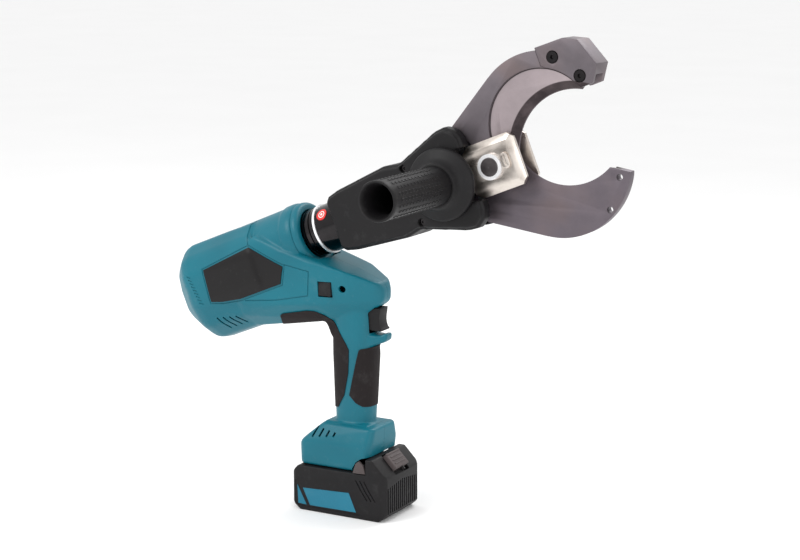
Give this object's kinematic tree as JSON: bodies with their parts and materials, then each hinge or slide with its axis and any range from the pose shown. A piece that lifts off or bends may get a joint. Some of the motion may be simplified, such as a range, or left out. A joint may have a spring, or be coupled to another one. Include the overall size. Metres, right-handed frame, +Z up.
{
  "type": "hydraulic cable cutter",
  "caption": "Battery-hydraulic cable cutter with two hooked shear jaws, a guarded link drive, a swivelling head, a side handle and a slide-on battery foot.",
  "frame": {"origin": "centre of the battery's underside, which the tool stands on", "axes": "+X forward towards the jaws, +Z up along the grip, +Y to the side away from the side handle"},
  "size_m": [0.5291, 0.212, 0.5171],
  "materials": {
    "teal_plastic": "fine-grained teal moulding",
    "black_plastic": "fine-grained black moulding",
    "grip_rubber": "soft textured overmoulding",
    "label_black": "smooth blank plate",
    "label_light": "smooth blank plate",
    "badge_red": "smooth blank sticker",
    "button_grey": "grey moulding",
    "jaw_steel": "ground tool steel",
    "cheek_steel": "satin plated steel",
    "black_steel": "black oxide",
    "bright_steel": "polished",
    "plain_steel": "machined",
    "cast_alloy": "cast",
    "board_green": "circuit board",
    "contact_brass": "bright",
    "cell_wrap": "wrapped cells",
    "lens_clear": "clear",
    "bladder_rubber": "plain"
  },
  "bodies": {
    "housing": {"shell_near": "teal_plastic", "shell_far": "teal_plastic", "nose_ring": "teal_plastic", "shell_screws": "black_steel", "back_grip_pad": "grip_rubber", "side_grip_pads": "grip_rubber", "label_plates": "label_black", "led_lens": "lens_clear", "control_board": "board_green", "trigger_switch": "black_plastic", "motor_can": "plain_steel", "gearbox": "plain_steel", "pump_block": "cast_alloy", "oil_reservoir": "bladder_rubber", "terminal_block": "black_plastic", "trigger_pin": "plain_steel", "trigger_spring": "plain_steel", "button_spring": "plain_steel"},
    "rotor": {"motor_rotor": "plain_steel"},
    "cam": {"pump_cam": "plain_steel"},
    "plunger": {"pump_plunger": "plain_steel"},
    "trigger": {"trigger": "black_plastic"},
    "release_button": {"release_button": "black_plastic"},
    "head": {"cylinder_tube": "black_steel", "retaining_ring": "bright_steel", "collar_badge": "badge_red", "head_base": "black_steel", "cheek_near": "cheek_steel", "cheek_far": "cheek_steel", "cheek_screws": "black_steel", "pivot_pin": "bright_steel", "pin_cap": "black_steel", "pin_nut": "plain_steel", "key_plate": "cheek_steel", "guard_near": "black_plastic", "guard_far": "black_plastic", "guard_screws": "black_steel", "handle_flange": "black_plastic", "side_handle": "black_plastic", "handle_bolt": "bright_steel", "return_spring": "plain_steel"},
    "ram": {"piston": "bright_steel", "piston_seal": "bladder_rubber", "crosshead": "plain_steel", "crosshead_pin": "plain_steel"},
    "link_upper": {"link_upper": "plain_steel"},
    "link_lower": {"link_lower": "plain_steel"},
    "upper_jaw": {"upper_jaw": "jaw_steel", "upper_tail_pin": "plain_steel", "guide_block": "jaw_steel", "guide_screws": "black_steel"},
    "lower_jaw": {"lower_jaw": "jaw_steel", "lower_tail_pin": "plain_steel"},
    "battery": {"battery_case": "black_plastic", "battery_cells": "cell_wrap", "battery_rail": "black_plastic", "battery_contacts": "contact_brass", "battery_label": "label_light", "latch_spring": "plain_steel"},
    "battery_latch": {"battery_latch": "button_grey"}
  },
  "joints": [
    {"name": "motor_spin", "type": "hinge", "parent": "housing", "child": "rotor", "pos_m": [-0.18058, 0, 0.22376], "axis": [0.9272, 0, 0.3746], "continuous": true},
    {"name": "cam_spin", "type": "hinge", "parent": "housing", "child": "cam", "pos_m": [-0.11568, 0, 0.24999], "axis": [0.9272, 0, 0.3746], "continuous": true},
    {"name": "plunger_slide", "type": "slide", "parent": "housing", "child": "plunger", "axis": [-0.3746, 0, 0.9272], "range_m": [0, 0.003], "stiffness_N_per_m": 400, "springref_m": -0.002},
    {"name": "trigger_pull", "type": "hinge", "parent": "housing", "child": "trigger", "pos_m": [0.015, 0, 0.221], "axis": [0, 1, 0], "range_deg": [0, 10], "stiffness_Nm_per_rad": 0.5, "springref_deg": -11.46, "deforming": ["trigger_spring"]},
    {"name": "button_press", "type": "slide", "parent": "housing", "child": "release_button", "axis": [0, 1, 0], "range_m": [0, 0.0025], "stiffness_N_per_m": 400, "springref_m": -0.002, "deforming": ["button_spring"]},
    {"name": "head_swivel", "type": "hinge", "parent": "housing", "child": "head", "pos_m": [-0.049, 0, 0.2985], "axis": [0.9272, 0, 0.3746], "range_deg": [-175, 175]},
    {"name": "ram_slide", "type": "slide", "parent": "head", "child": "ram", "axis": [0.9272, 0, 0.3746], "range_m": [0, 0.03325], "deforming": ["return_spring"]},
    {"name": "link_upper_hinge", "type": "hinge", "parent": "ram", "child": "link_upper", "pos_m": [0.10164, 0, 0.35936], "axis": [0, -1, 0], "range_deg": [0, 21.36]},
    {"name": "link_lower_hinge", "type": "hinge", "parent": "ram", "child": "link_lower", "pos_m": [0.10164, 0, 0.35936], "axis": [0, 1, 0], "range_deg": [0, 21.36]},
    {"name": "upper_jaw_pivot", "type": "hinge", "parent": "head", "child": "upper_jaw", "pos_m": [0.16981, 0, 0.38691], "axis": [0, 1, 0], "range_deg": [0, 38]},
    {"name": "lower_jaw_pivot", "type": "hinge", "parent": "head", "child": "lower_jaw", "pos_m": [0.16981, 0, 0.38691], "axis": [0, -1, 0], "range_deg": [0, 38.2]},
    {"name": "battery_slide", "type": "slide", "parent": "housing", "child": "battery", "axis": [1, 0, 0], "range_m": [0, 0.09]},
    {"name": "latch_press", "type": "slide", "parent": "battery", "child": "battery_latch", "axis": [0.7071, 0, -0.7071], "range_m": [0, 0.003], "stiffness_N_per_m": 400, "springref_m": -0.002, "deforming": ["latch_spring"]}
  ],
  "couplings": [
    {"joint": "cam_spin", "follows": "motor_spin", "ratio": 0.2},
    {"joint": "lower_jaw_pivot", "follows": "upper_jaw_pivot", "ratio": 1},
    {"joint": "ram_slide", "follows": "upper_jaw_pivot", "m_per_rad": 0.049832},
    {"joint": "link_upper_hinge", "follows": "upper_jaw_pivot", "ratio": 0.55684},
    {"joint": "link_lower_hinge", "follows": "upper_jaw_pivot", "ratio": 0.55684}
  ]
}
